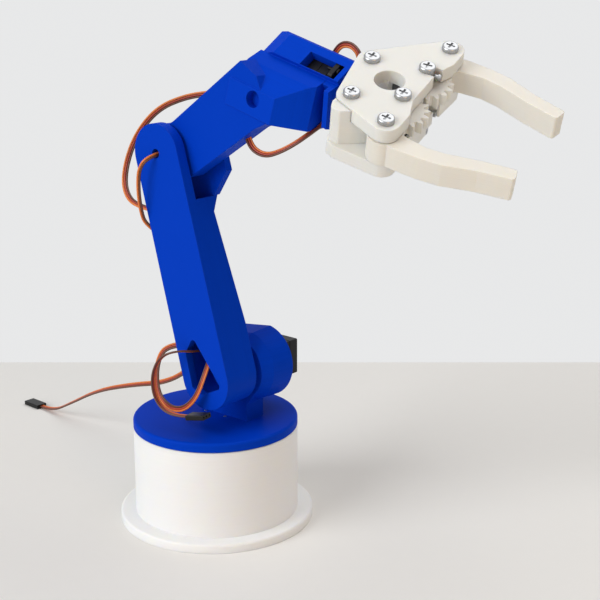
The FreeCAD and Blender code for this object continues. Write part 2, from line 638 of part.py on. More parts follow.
def forearm_body():
    """Forearm in the elbow frame, x along it."""
    outline = ((0, 10.4), (10.0, 10.7), (71.0, 13.2), (76.0, 2.0), (72.0, -20.6), (60.5, -18.7),
               (7.2, -18.5), (0, -14.5))
    plate = side_prism(outline, plate_near, plate_far)
    root = rod(plate_root_r, (0, plate_near, 0), (0, plate_far, 0))
    stub = rod(stub_r, (0, stub_end, 0), (0, plate_near + 1, 0))
    to_wrist = forearm.inverse().multiply(wrist)
    to_level = forearm.inverse().multiply(level)
    block = put(wrist_housing(), to_wrist)
    diagonal = plan_prism(((-8.6, housing_near - 1), (20, housing_near - 1), (20, -17.0), (4.9, -17.0),
                           (-8.6, housing_near)), -60, 60)
    near_hole = rod(near_hole_r, (near_hole_at[0], housing_near - 1, near_hole_at[1]),
                    (near_hole_at[0], housing_near + 4.5, near_hole_at[1]))
    front_keep = box(housing_front - front_plate_t - groove_w, 40, -80, 80, -80, 80)
    block = block.cut(put(diagonal.cut(front_keep), to_level))
    plate = plate.cut(put(box(-8.6, 60, -60, 60, -60, 60), to_level))
    body = fuse([plate, root, stub, block])
    body = body.cut(put(near_hole, to_level))
    body = body.cut(rod(boss_recess_r, (0, boss_recess_end, 0), (0, 5, 0)))
    body = body.cut(rod(ear_hole_r, (0, stub_end - 1, 0), (0, plate_near + 3.2, 0)))
    for at_end in (False, True):
        body = body.cut(put(end_hole(wrist_route, lead_r, at_end), to_level))
        body = body.cut(put(end_hole(top_route, lead_r, at_end), to_wrist))
    return body


def build_forearm():
    m = MICRO
    write(forearm_body(), "forearm", forearm)
    horn_here = forearm.multiply(Placement(Vector(0, fork_far, 0), to_near))
    write(servo_shaft(m), "elbow_servo_shaft", horn_here)
    write(plain_horn(m), "elbow_servo_horn", horn_here)
    write(servo_case(m), "roll_servo_case", roll_servo)
    screw = small_screw(m["screw_r"], m["head_r"], m["head_h"], m["ear_t"] + roll_bite)
    write(screws_at(ear_places(m), screw, -m["ear_drop"]), "roll_servo_screws", roll_servo)


def plain_horn(s):
    """Small round horn pressed on the shaft."""
    disc = rod(s["horn_r"], (0, 0, horn_z(s)), (0, 0, s["shaft_h"]))
    return disc.cut(rod(s["shaft_r"], (0, 0, 0), (0, 0, s["shaft_h"] + 1)))


# Wrist link, in a frame on the pitch axis whose x runs along the roll axis
def cheek_y():
    far = pitch_case_top - TINY["boss_h"] - cheek_gap
    return far - cheek_t, far


def link_arms():
    """The walls that hold the pitch servo, square to the pitch axis."""
    t = TINY
    wall_front = -t["width"] / 2 - fit_gap
    ear_far = pitch_case_top + t["ear_drop"] + t["ear_t"]
    wall_far = ear_far + link_wall
    middle = t["nose"] - t["length"] / 2
    wall_high = middle + t["ears"] / 2 + link_rim
    wall_low = middle - t["ears"] / 2 - link_rim
    wall_near = cheek_y()[1] + cheek_gap
    back = box(-30, wall_front, wall_near, wall_far, wall_low, wall_high)
    top = box(wall_front - 1, t["width"] / 2, ear_far, wall_far, t["nose"] + fit_gap, wall_high)
    low = box(wall_front - 1, t["width"] / 2, ear_far, wall_far, wall_low, t["nose"] - t["length"] - fit_gap)
    body = fuse([back, top, low])
    keep = rod(link_clear_r, (0, -50, 0), (0, 60, 0)).fuse(box(-40, 40, -50, 60, -60, 0))
    body = body.common(keep)
    here = Placement(Vector(0, pitch_case_top, 0), down_to_near)
    for x, y in ear_places(t):
        low = -t["ear_drop"] - t["ear_t"] - t["bite"] - pilot_room
        pilot = rod(t["screw_r"], (x, y, low), (x, y, -t["ear_drop"]))
        body = body.cut(put(pilot, here))
    return body


def wrist_link_body():
    m = MICRO
    start = housing_front + link_gap - pitch_at
    disc = rod(link_disc_r, (start, 0, 0), (start + link_disc_t, 0, 0))
    arms = put(link_arms(), yaw)
    body = fuse([disc, arms.cut(box(-80, start + 0.8, -80, 80, -80, 80))])
    horn_end = roll_top + m["shaft_h"] - pitch_at
    return body.cut(rod(m["horn_r"] + part_gap, (start - 1, 0, 0), (horn_end, 0, 0)))


def build_wrist_link():
    m = MICRO
    t = TINY
    write(wrist_link_body(), "wrist_link", link)
    write(servo_shaft(m), "roll_servo_shaft", roll_servo)
    write(plain_horn(m), "roll_servo_horn", roll_servo)
    write(servo_case(t), "pitch_servo_case", pitch_servo)
    screw = small_screw(t["screw_r"], t["head_r"], t["head_h"], t["ear_t"] + t["bite"])
    write(screws_at(ear_places(t), screw, -t["ear_drop"]), "pitch_servo_screws", pitch_servo)


# Gears
def involute_gear(teeth, phase, z0, z1):
    """Spur gear about the Z axis with one tooth's middle at the angle phase, in radians."""
    module = 2 * gear_half / gear_teeth
    pitch_r = module * teeth / 2
    base = pitch_r * math.cos(math.radians(pressure))
    tip = pitch_r + 0.85 * module
    root = pitch_r - 1.15 * module

    def roll_angle(r):
        t = math.sqrt(max((r / base) ** 2 - 1, 0.0))
        return t - math.atan(t)

    half = (math.pi * module / 2 - backlash) / (2 * pitch_r)
    flank = [root, max(base, root + 0.05), pitch_r, tip]
    points = []
    for k in range(teeth):
        middle = phase + 2 * math.pi * k / teeth
        rising = []
        for r in flank:
            lean = half + roll_angle(pitch_r) - roll_angle(max(r, base))
            rising.append((r, lean))
        for r, lean in rising:
            points.append((r * math.cos(middle - lean), r * math.sin(middle - lean)))
        for r, lean in reversed(rising):
            points.append((r * math.cos(middle + lean), r * math.sin(middle + lean)))
    return plan_prism(points, z0, z1)


def mesh_phase(way, teeth_a, phase_a, teeth_b):
    """Phase of gear B that meshes with gear A, B lying in the direction way from A."""
    step_a = 2 * math.pi / teeth_a
    step_b = 2 * math.pi / teeth_b
    part = (way - phase_a) / step_a
    return way + math.pi - step_b * (0.5 - part)


drive_phase = math.radians(90)
idle_phase = mesh_phase(math.radians(90), gear_teeth, drive_phase, gear_teeth)
near_way = math.atan2(near_y - drive_y, pivot_x - gear_x)
far_way = math.atan2(far_y - idle_y, pivot_x - gear_x)
near_phase = mesh_phase(near_way, gear_teeth, drive_phase, finger_teeth)
far_phase = mesh_phase(far_way, gear_teeth, idle_phase, finger_teeth)


def finger_tip(side, a, b):
    """Last straight run of a finger, square at its end with small rounds."""
    ax, ay, ra = a
    bx, by, rb = b
    way = math.atan2(side * (by - ay), bx - ax)
    across_x, across_y = -math.sin(way), math.cos(way)
    corners = []
    for x, y, half in ((ax, ay, ra), (bx, by, rb), (bx, by, -rb), (ax, ay, -ra)):
        corners.append((x + across_x * half, side * y + across_y * half))
    shape = plan_prism(corners, finger_low, gear_high)
    rims = []
    for edge in shape.Edges:
        upright = abs(edge.tangentAt(edge.FirstParameter).z) > 0.99
        if upright and edge.BoundBox.XMin > (ax + bx) / 2:
            rims.append(edge)
    return shape.makeFillet(finger_round, rims)


def finger_body(side, phase):
    """Finger about its own pivot; side is -1 for the near one and 1 for the far one."""
    teeth_side = box(-60, 60, -60, -hub_from, -60, 60)
    if side < 0:
        teeth_side = box(-60, 60, hub_from, 60, -60, 60)
    teeth = involute_gear(finger_teeth, phase, gear_low, gear_high).common(teeth_side)
    hub = rod(hub_r, (0, 0, finger_low), (0, 0, gear_high)).cut(teeth_side)
    parts = [teeth, hub]
    for a, b in zip(finger_spine, finger_spine[1:-1]):
        start = (a[0], side * a[1])
        end = (b[0], side * b[1])
        parts.append(capsule(start, a[2], end, b[2], finger_low, gear_high))
    parts.append(finger_tip(side, finger_spine[-2], finger_spine[-1]))
    return fuse(parts).cut(rod(bolt_r + run_gap, (0, 0, -20), (0, 0, 30)))


def flat_gear(phase):
    """Gear with a flat back, which leaves room behind it."""
    gear = involute_gear(gear_teeth, phase, gear_low, gear_high)
    return gear.cut(box(-60, -gear_back, -60, 60, -60, 60))


# Gripper plates
def top_outline(r, z0, z1):
    """Slab round the rear screws and the finger pivots, with corners of radius r."""
    corners = [rear_screws[1], (pivot_x, near_y), (pivot_x, far_y), rear_screws[0]]
    parts = [plan_prism(corners, z0, z1)]
    for a, b in zip(corners, corners[1:] + corners[:1]):
        parts.append(capsule(a, r, b, r, z0, z1))
    return fuse(parts)


def bolt_slot():
    """Round-backed slot, open to the front, that takes the idle bolt and its collars."""
    room = collar_r + collar_room
    back = rod(room, (gear_x, idle_y, -40), (gear_x, idle_y, 40))
    return back.fuse(box(gear_x, gear_x + 20, idle_y - room, idle_y + room, -40, 40))


def top_plate_body():
    r = plate_corner_r
    body = top_outline(r, top_low, top_high)
    reach = pivot_half - r
    front = ((pivot_x + r + 1, -reach), (plate_front, -gear_half), (plate_front, gear_half),
             (pivot_x + r + 1, reach))
    body = body.cut(plan_prism(front, top_low - 1, top_high + 1))
    hole_x, hole_y = grip_hole_at
    body = body.cut(rod(grip_hole_r, (hole_x, hole_y, 0), (hole_x, hole_y, 30)))
    return body.cut(bolt_slot())


def gripper_top():
    t = TINY
    body = top_plate_body()
    y0, y1 = cheek_y()
    cheek = fuse([rod(cheek_r, (0, y0, 0), (0, y1, 0)), box(-cheek_r, cheek_r, y0, y1, 0, top_low + 1)])
    body = fuse([body, cheek])
    horn_end = pitch_case_top - t["shaft_h"]
    body = body.cut(rod(t["horn_r"] + part_gap, (0, horn_end, 0), (0, y1 + 1, 0)))
    for y in (near_y, far_y):
        body = body.cut(rod(bolt_r, (pivot_x, y, 0), (pivot_x, y, 30)))
    body = body.cut(rod(bolt_r + run_gap, (gear_x, drive_y, 0), (gear_x, drive_y, 30)))
    for x, y in rear_screws:
        body = body.cut(rod(rear_screw_r, (x, y, top_high - rear_screw_l), (x, y, 30)))
    return body


def low_plate_outline(z0, z1):
    """Lower plate: full on the near side, a bar on the far side, round ends under the pivots."""
    r = plate_corner_r
    front = ((pivot_x, near_y - r), (pivot_x + r, near_y), (low_front, drive_y - 6.0), (low_front, 0.0),
             (low_front - low_depth, 0.0))
    middle = (low_front - low_depth / 2, -2.0)
    near_end = rod(r, (pivot_x, near_y, z0), (pivot_x, near_y, z1))
    far_bar = capsule(middle, bar_root_r, (pivot_x, far_y), r, z0, z1)
    return [plan_prism(low_rear_corner + front, z0, z1), near_end, far_bar]


def near_block():
    """Block on the lower plate's near side, which reaches up beside the top plate."""
    block = plan_prism(rear_block, low_plate_high, block_high)
    rims = []
    for edge in block.Edges:
        upright = abs(edge.tangentAt(edge.FirstParameter).z) > 0.99
        outer = edge.BoundBox.YMax < rear_block[3][1] - 1
        if upright and outer:
            rims.append(edge)
    block = block.makeFillet(block_round, rims)
    room = top_outline(plate_corner_r + part_gap, top_low - block_seat, top_high + 5)
    return block.cut(room)


def gripper_low():
    t = TINY
    body = fuse(low_plate_outline(low_plate_low, low_plate_high) + [near_block()])
    body = body.cut(bolt_slot())
    half = t["width"] / 2 + fit_gap + well_wall
    well = box(t["nose"] - t["length"] - fit_gap - well_wall, t["nose"] + fit_gap + well_wall, -half, half,
               well_low - grip_servo_top, low_plate_low + 1 - grip_servo_top)
    body = body.fuse(put(well, grip_here))
    body = body.cut(put(servo_pocket(t, 30.0, -60.0), grip_here))
    middle = t["nose"] - t["length"] / 2
    ear_half = t["ears"] / 2 + fit_gap
    half = t["width"] / 2 + fit_gap
    ears = box(middle - ear_half, middle + ear_half, -half, half, -t["ear_drop"] - t["ear_t"], 10.0)
    body = body.cut(put(ears, grip_here))
    for x, y in ear_places(t):
        low = -t["ear_drop"] - t["ear_t"] - grip_bite - grip_pilot_room
        pilot = rod(t["screw_r"], (x, y, low), (x, y, 0))
        body = body.cut(put(pilot, grip_here))
    for x, y in ((pivot_x, near_y), (pivot_x, far_y)):
        body = body.cut(rod(bolt_r, (x, y, -40), (x, y, 30)))
    return body.removeSplitter()


def collar(z0, z1, side_z):
    """Ring on the idle bolt with a threaded hole in its side."""
    ring = rod(collar_r, (0, 0, z0), (0, 0, z1)).cut(rod(bolt_r, (0, 0, z0 - 1), (0, 0, z1 + 1)))
    return ring.cut(rod(set_screw_r, (0, 0, side_z), (collar_r + 1, 0, side_z)))


def set_screw(side_z):
    """Small slotted screw that stands out of a collar's side."""
    start = bolt_r + 0.05
    end = start + set_screw_l
    screw = rod(set_screw_r, (start, 0, side_z), (end, 0, side_z))
    head = rod(set_screw_r + 0.5, (end - 1.6, 0, side_z), (end, 0, side_z))
    return fuse([screw, head]).cut(box(end - 0.7, end + 1, -0.25, 0.25, side_z - 3, side_z + 3))


def knurled_nut():
    """Round nut with ribs round its rim."""
    z0, z1 = nut_z
    body = rod(nut_r, (0, 0, z0), (0, 0, z1)).cut(rod(bolt_r, (0, 0, z0 - 1), (0, 0, z1 + 1)))
    for k in range(nut_ribs):
        angle = 2 * math.pi * k / nut_ribs
        x, y = nut_r * math.cos(angle), nut_r * math.sin(angle)
        body = body.cut(rod(0.45, (x, y, z0 + 1.2), (x, y, z1 - 1.2)))
    return body


def build_idle_bolt():
    here = grip.multiply(Placement(Vector(gear_x, idle_y, 0), Rotation(upwards, set_screw_turn)))
    bolt = small_screw(bolt_r, screw_head_r, screw_head_h, top_high - nut_z[0] + 1.0)
    write(screws_at(((0, 0),), bolt, top_high), "idle_bolt", here)
    high = (gear_high + part_gap, top_high)
    places = [(high[0], high[1], high[1] - 3.0), (low_collar[0], low_collar[1], low_collar[1] - 2.5)]
    write(Part.makeCompound([collar(*p) for p in places]), "bolt_collars", here)
    write(Part.makeCompound([set_screw(p[2]) for p in places]), "collar_screws", here)
    write(knurled_nut(), "knurled_nut", here)


def build_gripper():
    t = TINY
    pitch_here = grip.multiply(Placement(Vector(0, pitch_case_top, 0), down_to_near))
    write(gripper_top(), "gripper_top_plate", grip)
    write(gripper_low(), "gripper_lower_plate", grip)
    write(servo_shaft(t), "pitch_servo_shaft", pitch_here)
    write(plain_horn(t), "pitch_servo_horn", pitch_here)
    write(servo_case(t), "gripper_servo_case", grip_servo)
    screw = small_screw(t["screw_r"], t["head_r"], t["head_h"], t["ear_t"] + grip_bite)
    write(screws_at(ear_places(t), screw, -t["ear_drop"]), "gripper_servo_screws", grip_servo)
    long_bolt = small_screw(bolt_r, screw_head_r, screw_head_h, top_high - low_plate_low)
    pivots = ((pivot_x, near_y), (pivot_x, far_y))
    write(screws_at(pivots, long_bolt, top_high), "finger_bolts", grip)
    rear = small_screw(rear_screw_r, screw_head_r, screw_head_h, rear_screw_l)
    write(screws_at(rear_screws, rear, top_high), "plate_screws", grip)
    build_idle_bolt()
    build_gears()


def build_gears():
    t = TINY
    top = grip_servo_top + t["shaft_h"]
    at_drive = grip.multiply(Placement(Vector(gear_x, drive_y, 0), Rotation()))
    at_idle = grip.multiply(Placement(Vector(gear_x, idle_y, 0), Rotation()))
    drive = flat_gear(drive_phase)
    drive = drive.cut(rod(t["shaft_r"], (0, 0, -20), (0, 0, top)))
    drive = drive.cut(rod(cap_thread_r, (0, 0, 0), (0, 0, 30)))
    write(drive, "drive_gear", at_drive)
    shaft = servo_shaft(t).cut(rod(cap_thread_r, (0, 0, 1.0), (0, 0, 10)))
    write(shaft, "gripper_servo_shaft", grip_servo)
    head_z = top_high + cap_lift
    cap = fuse([small_screw(bolt_r, screw_head_r, screw_head_h, head_z - gear_high),
                rod(cap_thread_r, (0, 0, grip_servo_top + 1.4 - head_z), (0, 0, -2))])
    write(put(cap, Placement(Vector(0, 0, head_z), Rotation())), "drive_gear_screw", at_drive)
    idle = flat_gear(idle_phase).cut(rod(bolt_r + run_gap, (0, 0, -20), (0, 0, 30)))
    write(idle, "idle_gear", at_idle)
    fingers = (("near_finger", -1, near_phase, near_y), ("far_finger", 1, far_phase, far_y))
    for node, side, phase, y in fingers:
        at_pivot = grip.multiply(Placement(Vector(pivot_x, y, 0), Rotation()))
        write(finger_body(side, phase), node, at_pivot)


# Leads: round tubes of straight runs and tangent arcs
def lead(points, radius, node):
    """Tube along straight runs with a tangent arc at every turn."""
    way = [Vector(*p) for p in points]
    edges = []
    last = way[0]
    for a, b, c in zip(way, way[1:], way[2:]):
        into = (b - a).normalize()
        out = (c - b).normalize()
        half = into.getAngle(out) / 2
        short = 0.45 * min((b - a).Length, (c - b).Length)
        bend = short / math.tan(half)
        start = b - into * short
        end = b + out * short
        middle = (out - into).normalize()
        centre = b + middle * (bend / math.cos(half))
        top = centre - middle * bend
        edges.append(Part.LineSegment(last, start).toShape())
        edges.append(Part.Arc(start, top, end).toShape())
        print("    %s bend radius %.1f" % (node, bend))
        last = end
    edges.append(Part.LineSegment(last, way[-1]).toShape())
    wire = Part.Wire(edges)
    ring = Part.Wire([Part.makeCircle(radius, way[0], way[1] - way[0])])
    tube = wire.makePipeShell([ring], True, False)
    length = wire.Length
    share = tube.Volume / (math.pi * radius ** 2 * length)
    print("    %s length %.1f volume share %.4f" % (node, length, share))
    return tube


def end_hole(route, radius, at_end=True):
    """Hole that takes the last run of a lead."""
    a, b = (route[-2], route[-1]) if at_end else (route[1], route[0])
    return rod(radius, a, b)


def plug_block(route, size):
    """Connector on the end of a lead, square to its last run."""
    a = Vector(*route[-2])
    b = Vector(*route[-1])
    way = (b - a).normalize()
    block = box(0, size[0], -size[1] / 2, size[1] / 2, -size[2] / 2, size[2] / 2)
    block = block.makeFillet(0.4, [e for e in block.Edges if e.Length > size[0] - 0.1])
    for k in range(3):
        y = (k - 1) * 2.54 * size[1] / 7.6
        block = block.cut(box(size[0] - 5, size[0] + 1, y - 0.5, y + 0.5, -0.5, 0.5))
    return put(block, Placement(b, Rotation(Vector(1, 0, 0), way)))


def build_leads():
    write(lead(elbow_route, lead_r, "elbow_lead"), "elbow_lead", elbow)
    write(lead(hole_route, wire_r, "elbow_hole_lead"), "elbow_hole_lead", elbow)
    write(lead(foot_route, lead_r, "foot_lead"), "foot_lead", shoulder)
    write(lead(plug_route, lead_r, "foot_plug_lead"), "foot_plug_lead", shoulder)
    write(plug_block(plug_route, foot_plug_size), "foot_plug", shoulder)
    write(lead(wrist_route, lead_r, "wrist_lead"), "wrist_lead", level)
    write(lead(top_route, lead_r, "wrist_top_lead"), "wrist_top_lead", wrist)
    write(lead(table_route, lead_r, "shoulder_lead"), "shoulder_lead")
    write(plug_block(table_route, plug_size), "shoulder_plug")


build_base()
build_waist()
build_upper_arm()
build_forearm()
build_wrist_link()
build_gripper()
build_leads()
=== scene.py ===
import json
import math
import bpy
from mathutils import Matrix, Vector


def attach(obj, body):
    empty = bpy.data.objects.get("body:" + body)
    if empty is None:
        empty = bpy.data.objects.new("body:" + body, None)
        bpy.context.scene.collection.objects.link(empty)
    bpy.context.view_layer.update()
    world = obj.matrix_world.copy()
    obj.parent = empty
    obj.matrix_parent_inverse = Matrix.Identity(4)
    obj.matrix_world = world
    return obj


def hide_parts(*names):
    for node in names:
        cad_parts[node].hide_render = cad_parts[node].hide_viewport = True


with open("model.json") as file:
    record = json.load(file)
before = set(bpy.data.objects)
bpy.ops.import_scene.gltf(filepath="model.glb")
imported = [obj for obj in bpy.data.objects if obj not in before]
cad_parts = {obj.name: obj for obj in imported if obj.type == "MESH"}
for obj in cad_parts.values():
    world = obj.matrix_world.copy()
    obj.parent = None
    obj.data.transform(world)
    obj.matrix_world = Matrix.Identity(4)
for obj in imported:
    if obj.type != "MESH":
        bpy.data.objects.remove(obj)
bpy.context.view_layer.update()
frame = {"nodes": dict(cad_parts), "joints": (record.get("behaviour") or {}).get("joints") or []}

bl_info = {
    "name": "Desktop Servo Arm",
    "version": (1, 0, 0),
    "blender": (4, 5, 0),
    "location": "View3D > Sidebar > Servo Arm",
    "description": "Finishes, servo leads and studio for a printed desktop servo arm",
    "category": "Object",
}

MM = 0.001

# The camera stands where the photograph was taken: place, forward and sideways directions
CAMERA_PLACE = Vector((0.4670, -0.4836, 0.3114))
CAMERA_FORWARD = Vector((-0.6194, 0.7370, -0.2706))
CAMERA_RIGHT = Vector((0.7655, 0.6434, 0.0))
SENSOR_WIDTH = 36.0
NEAR_CLIP = 0.01

# The stage: lengths in metres, and colours of the lamps, the table, the room light and the wall
TABLE_HALF_WIDTH = 4.0
TABLE_DEPTH = 6.0
ARM_MIDDLE = (0.02, 0, 0.15)
BASE_MIDDLE = (0, 0, 0.05)
KEY_PLACE = (-1.25, -4.35, 2.5)
KEY_SIZE = 4.0
KEY_COLOUR = (0.965, 0.985, 1.0)
FILL_PLACE = (1.9, -0.85, 0.55)
FILL_SIZE = 1.0
FILL_COLOUR = (1.0, 0.6, 0.26)
TOP_PLACE = (0.4, 0.5, 2.0)
TOP_SIZE = 2.4
TOP_COLOUR = (1.0, 1.0, 1.0)
TABLE_DARK = (0.865, 0.845, 0.81, 1)
TABLE_LIGHT = (0.89, 0.87, 0.835, 1)
ROOM_COLOUR = (0.96, 0.97, 1.0, 1)
WALL_COLOUR = (0.805, 0.81, 0.815, 1)

# Surfaces: radius of softened edges, depth of the relief in the bump, and light within pale plastic
CASE_EDGE = 0.25 * MM
METAL_EDGE = 0.2 * MM
PRINT_RELIEF = 0.05 * MM
CASE_RELIEF = 0.04 * MM
METAL_RELIEF = 0.02 * MM
EDGE_SAMPLES = 4
GLOW_SHARE = 0.5
GLOW_REACH = (1.0, 0.85, 0.6)

# Scales of the fine grain and of the patches in each surface
PRINT_GRAIN = (900.0, 28.0)
CASE_GRAIN = (2600.0, 60.0)
METAL_GRAIN = (1800.0, 240.0)
WIRE_GRAIN = (1400.0, 120.0)
TABLE_GRAIN = (120.0, 3.0)

# The joints of the frame by their names
JOINTS = {joint["name"]: joint for joint in frame["joints"]}


def joint_place(name):
    """Where a joint's axis stands at rest, in metres."""
    return Vector(JOINTS[name]["pos_m"])


def turned(place, *turns):
    """A rest frame at a place, turned about named axes by degrees, first turn first."""
    matrix = Matrix.Translation(place)
    for axis, angle in turns:
        matrix = matrix @ Matrix.Rotation(math.radians(angle), 4, axis)
    return matrix


# Rest frames that the leads' routes are given in, with their tilt and roll in degrees
ARM_TILT = -15.5
HOUSING_TILT = 16.0
ROLL_REST = 40.0
REST_FRAMES = {
    "shoulder": turned(joint_place("shoulder_lift"), ("Y", ARM_TILT)),
    "elbow": turned(joint_place("elbow_lift"), ("Y", ARM_TILT)),
    "level": turned(joint_place("wrist_roll"), ("Y", HOUSING_TILT)),
    "wrist": turned(joint_place("wrist_roll"), ("Y", HOUSING_TILT), ("X", ROLL_REST)),
    "table": Matrix.Identity(4),
}


class ArmColours(bpy.types.PropertyGroup):
    """Colours of the printed pieces, servos, hardware and leads."""
    base_white: bpy.props.FloatVectorProperty(
        name="Base white", description="Printed base", subtype="COLOR", size=3, default=(0.925, 0.925, 0.92))
    arm_blue: bpy.props.FloatVectorProperty(
        name="Arm blue", description="Printed links and disc", subtype="COLOR", size=3,
        default=(0.0, 0.046, 0.53))
    gripper_ivory: bpy.props.FloatVectorProperty(
        name="Gripper ivory", description="Printed gripper plates", subtype="COLOR", size=3,
        default=(0.79, 0.788, 0.75))
    finger_ivory: bpy.props.FloatVectorProperty(
        name="Finger ivory", description="Printed fingers", subtype="COLOR", size=3,
        default=(0.80, 0.772, 0.70))
    servo_black: bpy.props.FloatVectorProperty(
        name="Servo black", description="Moulded servo cases", subtype="COLOR", size=3,
        default=(0.009, 0.009, 0.011))
    plug_black: bpy.props.FloatVectorProperty(
        name="Plug black", description="Connectors of the leads", subtype="COLOR", size=3,
        default=(0.01, 0.01, 0.01))
    horn_white: bpy.props.FloatVectorProperty(
        name="Horn white", description="Nylon servo horns", subtype="COLOR", size=3,
        default=(0.72, 0.72, 0.70))
    shaft_brass: bpy.props.FloatVectorProperty(
        name="Shaft brass", description="Servo output shafts", subtype="COLOR", size=3,
        default=(0.72, 0.5, 0.2))
    screw_steel: bpy.props.FloatVectorProperty(
        name="Screw steel", description="Plated screws and bolts", subtype="COLOR", size=3,
        default=(0.42, 0.425, 0.435))
    screw_black: bpy.props.FloatVectorProperty(
        name="Screw black", description="Blackened screws in the wrist", subtype="COLOR", size=3,
        default=(0.02, 0.02, 0.022))
    lead_brown: bpy.props.FloatVectorProperty(
        name="Brown wire", description="Ground wire of a lead", subtype="COLOR", size=3,
        default=(0.13, 0.042, 0.02))
    lead_red: bpy.props.FloatVectorProperty(
        name="Red wire", description="Supply wire of a lead", subtype="COLOR", size=3,
        default=(0.42, 0.05, 0.022))
    lead_orange: bpy.props.FloatVectorProperty(
        name="Orange wire", description="Signal wire of a lead", subtype="COLOR", size=3,
        default=(0.74, 0.2, 0.035))


class ArmSizes(bpy.types.PropertyGroup):
    """Sizes of the wires, print layers and softened edges, and how deep light goes in."""
    wire: bpy.props.FloatProperty(
        name="Wire", description="Diameter of one insulated wire", unit="LENGTH", default=1.15 * MM)
    layer: bpy.props.FloatProperty(
        name="Layer", description="Height of one print layer", unit="LENGTH", default=0.3 * MM)
    edge: bpy.props.FloatProperty(
        name="Edge", description="Radius of softened printed edges", unit="LENGTH", default=0.45 * MM)
    glow: bpy.props.FloatProperty(
        name="Glow", description="Depth that light reaches in pale plastic", unit="LENGTH", default=3.0 * MM)


class StudioSettings(bpy.types.PropertyGroup):
    """Lens, reach of the table and strength of the light."""
    lens: bpy.props.FloatProperty(
        name="Lens", description="Focal length on a 36 mm sensor", default=78.0, min=20.0)
    table_reach: bpy.props.FloatProperty(
        name="Table reach", description="Distance of the table's back edge behind the base", unit="LENGTH",
        default=0.263)
    key: bpy.props.FloatProperty(name="Key", description="Power of the key lamp in watts", default=181.0)
    fill: bpy.props.FloatProperty(name="Fill", description="Power of the fill lamp in watts", default=5.6)
    top: bpy.props.FloatProperty(name="Top", description="Power of the lamp overhead in watts", default=23.5)
    sky: bpy.props.FloatProperty(name="Sky", description="Strength of the room light", default=0.18)


def colours():
    """The scene's colour settings."""
    return bpy.context.scene.servo_arm_colours


def sizes():
    """The scene's size settings."""
    return bpy.context.scene.servo_arm_sizes


def studio():
    """The scene's studio settings."""
    return bpy.context.scene.servo_arm_studio


# Node helpers
def new_group(name, inputs, outputs):
    """An empty shader node group with its sockets, and its two end nodes."""
    tree = bpy.data.node_groups.new(name, "ShaderNodeTree")
    for label, kind, default in inputs:
        socket = tree.interface.new_socket(label, in_out="INPUT", socket_type=kind)
        socket.default_value = default
    for label, kind in outputs:
        tree.interface.new_socket(label, in_out="OUTPUT", socket_type=kind)
    return tree, tree.nodes.new("NodeGroupInput"), tree.nodes.new("NodeGroupOutput")


def math_node(tree, operation, first, second=None):
    """A Math node whose inputs are sockets or numbers."""
    node = tree.nodes.new("ShaderNodeMath")
    node.operation = operation
    for index, value in enumerate((first, second)):
        if value is None:
            continue
        if isinstance(value, (int, float)):
            node.inputs[index].default_value = value
        else:
            tree.links.new(value, node.inputs[index])
    return node.outputs[0]


def place_group(material, name, **values):
    """A copy of a shared group in a material, with its own values."""
    node = material.node_tree.nodes.new("ShaderNodeGroup")
    node.node_tree = bpy.data.node_groups[name]
    for label, value in values.items():
        node.inputs[label.replace("_", " ")].default_value = value
    return node


def place_grain(material, scales):
    """The shared grain in a material, with its fine and patch scales."""
    return place_group(material, "Surface Grain", Scale=scales[0], Patch_Scale=scales[1])


def make_layer_group():
    """Print layers: a ridge height and a tone that changes from layer to layer."""
    tree, start, end = new_group(
        "Print Layers",
        (("Direction", "NodeSocketVector", (0, 0, 1)), ("Layer", "NodeSocketFloat", 0.3 * MM)),
        (("Height", "NodeSocketFloat"), ("Tone", "NodeSocketFloat")))
    place = tree.nodes.new("ShaderNodeTexCoord")
    along = tree.nodes.new("ShaderNodeVectorMath")
    along.operation = "DOT_PRODUCT"
    tree.links.new(place.outputs["Object"], along.inputs[0])
    tree.links.new(start.outputs["Direction"], along.inputs[1])
    count = math_node(tree, "DIVIDE", along.outputs["Value"], start.outputs["Layer"])
    part = math_node(tree, "PINGPONG", count, 0.5)
    height = math_node(tree, "MULTIPLY", part, 2.0)
    whole = math_node(tree, "FLOOR", count)
    chance = tree.nodes.new("ShaderNodeTexWhiteNoise")
    chance.noise_dimensions = "1D"
    tree.links.new(whole, chance.inputs["W"])
    tree.links.new(height, end.inputs["Height"])
    tree.links.new(chance.outputs["Value"], end.inputs["Tone"])


def make_grain_group():
    """Fine unevenness of a surface: a value for colour and gloss, and a height."""
    tree, start, end = new_group(
        "Surface Grain",
        (("Scale", "NodeSocketFloat", 300.0), ("Patch Scale", "NodeSocketFloat", 20.0)),
        (("Value", "NodeSocketFloat"), ("Height", "NodeSocketFloat")))
    place = tree.nodes.new("ShaderNodeTexCoord")
    fine = tree.nodes.new("ShaderNodeTexNoise")
    patch = tree.nodes.new("ShaderNodeTexNoise")
    fine.inputs["Detail"].default_value = 4.0
    patch.inputs["Detail"].default_value = 3.0
    for node, label in ((fine, "Scale"), (patch, "Patch Scale")):
        tree.links.new(place.outputs["Object"], node.inputs["Vector"])
        tree.links.new(start.outputs[label], node.inputs["Scale"])
    both = math_node(tree, "ADD", fine.outputs["Fac"], patch.outputs["Fac"])
    half = math_node(tree, "MULTIPLY", both, 0.5)
    tree.links.new(half, end.inputs["Value"])
    tree.links.new(fine.outputs["Fac"], end.inputs["Height"])


